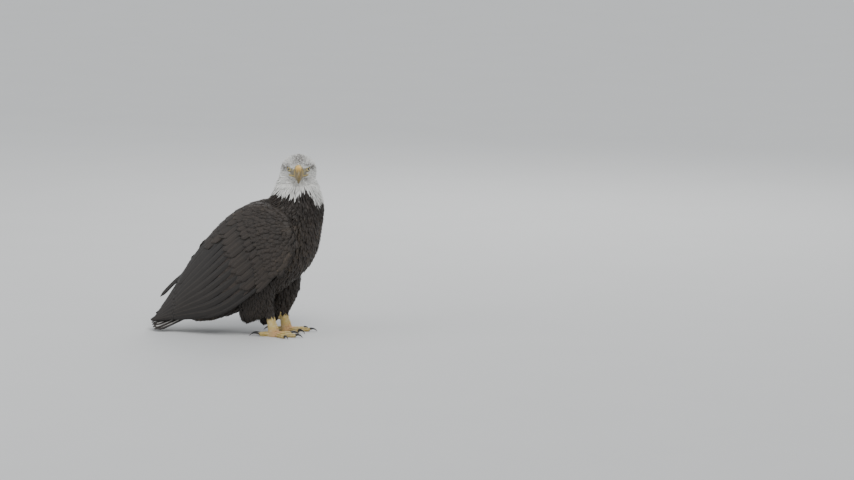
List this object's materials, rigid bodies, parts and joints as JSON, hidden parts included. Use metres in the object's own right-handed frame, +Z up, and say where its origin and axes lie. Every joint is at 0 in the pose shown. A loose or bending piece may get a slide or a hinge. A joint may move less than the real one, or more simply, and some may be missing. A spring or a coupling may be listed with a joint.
{
  "type": "bald eagle model",
  "caption": "Life-size still model of a standing bald eagle with its head turned to one side, wings folded and tail laid on the ground.",
  "frame": {"origin": "on the ground under the middle of the bird's outline", "axes": "+X the way the body faces, +Y to the bird's left, +Z up; the head is turned to the bird's right"},
  "size_m": [0.563, 0.249, 0.5714],
  "materials": {
    "plumage_white": "soft white feathers with dusky flecks",
    "plumage_brown": "blackish-brown feathers with slightly paler edges",
    "plumage_flight": "stiff blackish flight feathers",
    "plumage_tail": "white tail feathers streaked and edged with blackish brown",
    "bill_yellow": "smooth horn, orange-yellow on the ridge and olive below",
    "foot_yellow": "scaly yellow skin",
    "claw_black": "smooth black horn",
    "eye": "pale yellow iris round a black pupil, under a wet clear surface"
  },
  "bodies": {
    "root": {"head": "plumage_white", "neck": "plumage_white", "trunk": "plumage_brown", "tail": "plumage_tail", "loose_feather_left": "plumage_flight", "bill_upper": "bill_yellow", "bill_lower": "bill_yellow", "eye_left": "eye", "wing_left": "plumage_brown", "primaries_left": "plumage_flight", "thigh_left": "plumage_brown", "tarsus_left": "foot_yellow", "toe_hallux_left": "foot_yellow", "claw_hallux_left": "claw_black", "toe_inner_left": "foot_yellow", "claw_inner_left": "claw_black", "toe_middle_left": "foot_yellow", "claw_middle_left": "claw_black", "toe_outer_left": "foot_yellow", "claw_outer_left": "claw_black", "eye_right": "eye", "wing_right": "plumage_brown", "primaries_right": "plumage_flight", "thigh_right": "plumage_brown", "tarsus_right": "foot_yellow", "toe_hallux_right": "foot_yellow", "claw_hallux_right": "claw_black", "toe_inner_right": "foot_yellow", "claw_inner_right": "claw_black", "toe_middle_right": "foot_yellow", "claw_middle_right": "claw_black", "toe_outer_right": "foot_yellow", "claw_outer_right": "claw_black"}
  },
  "joints": []
}
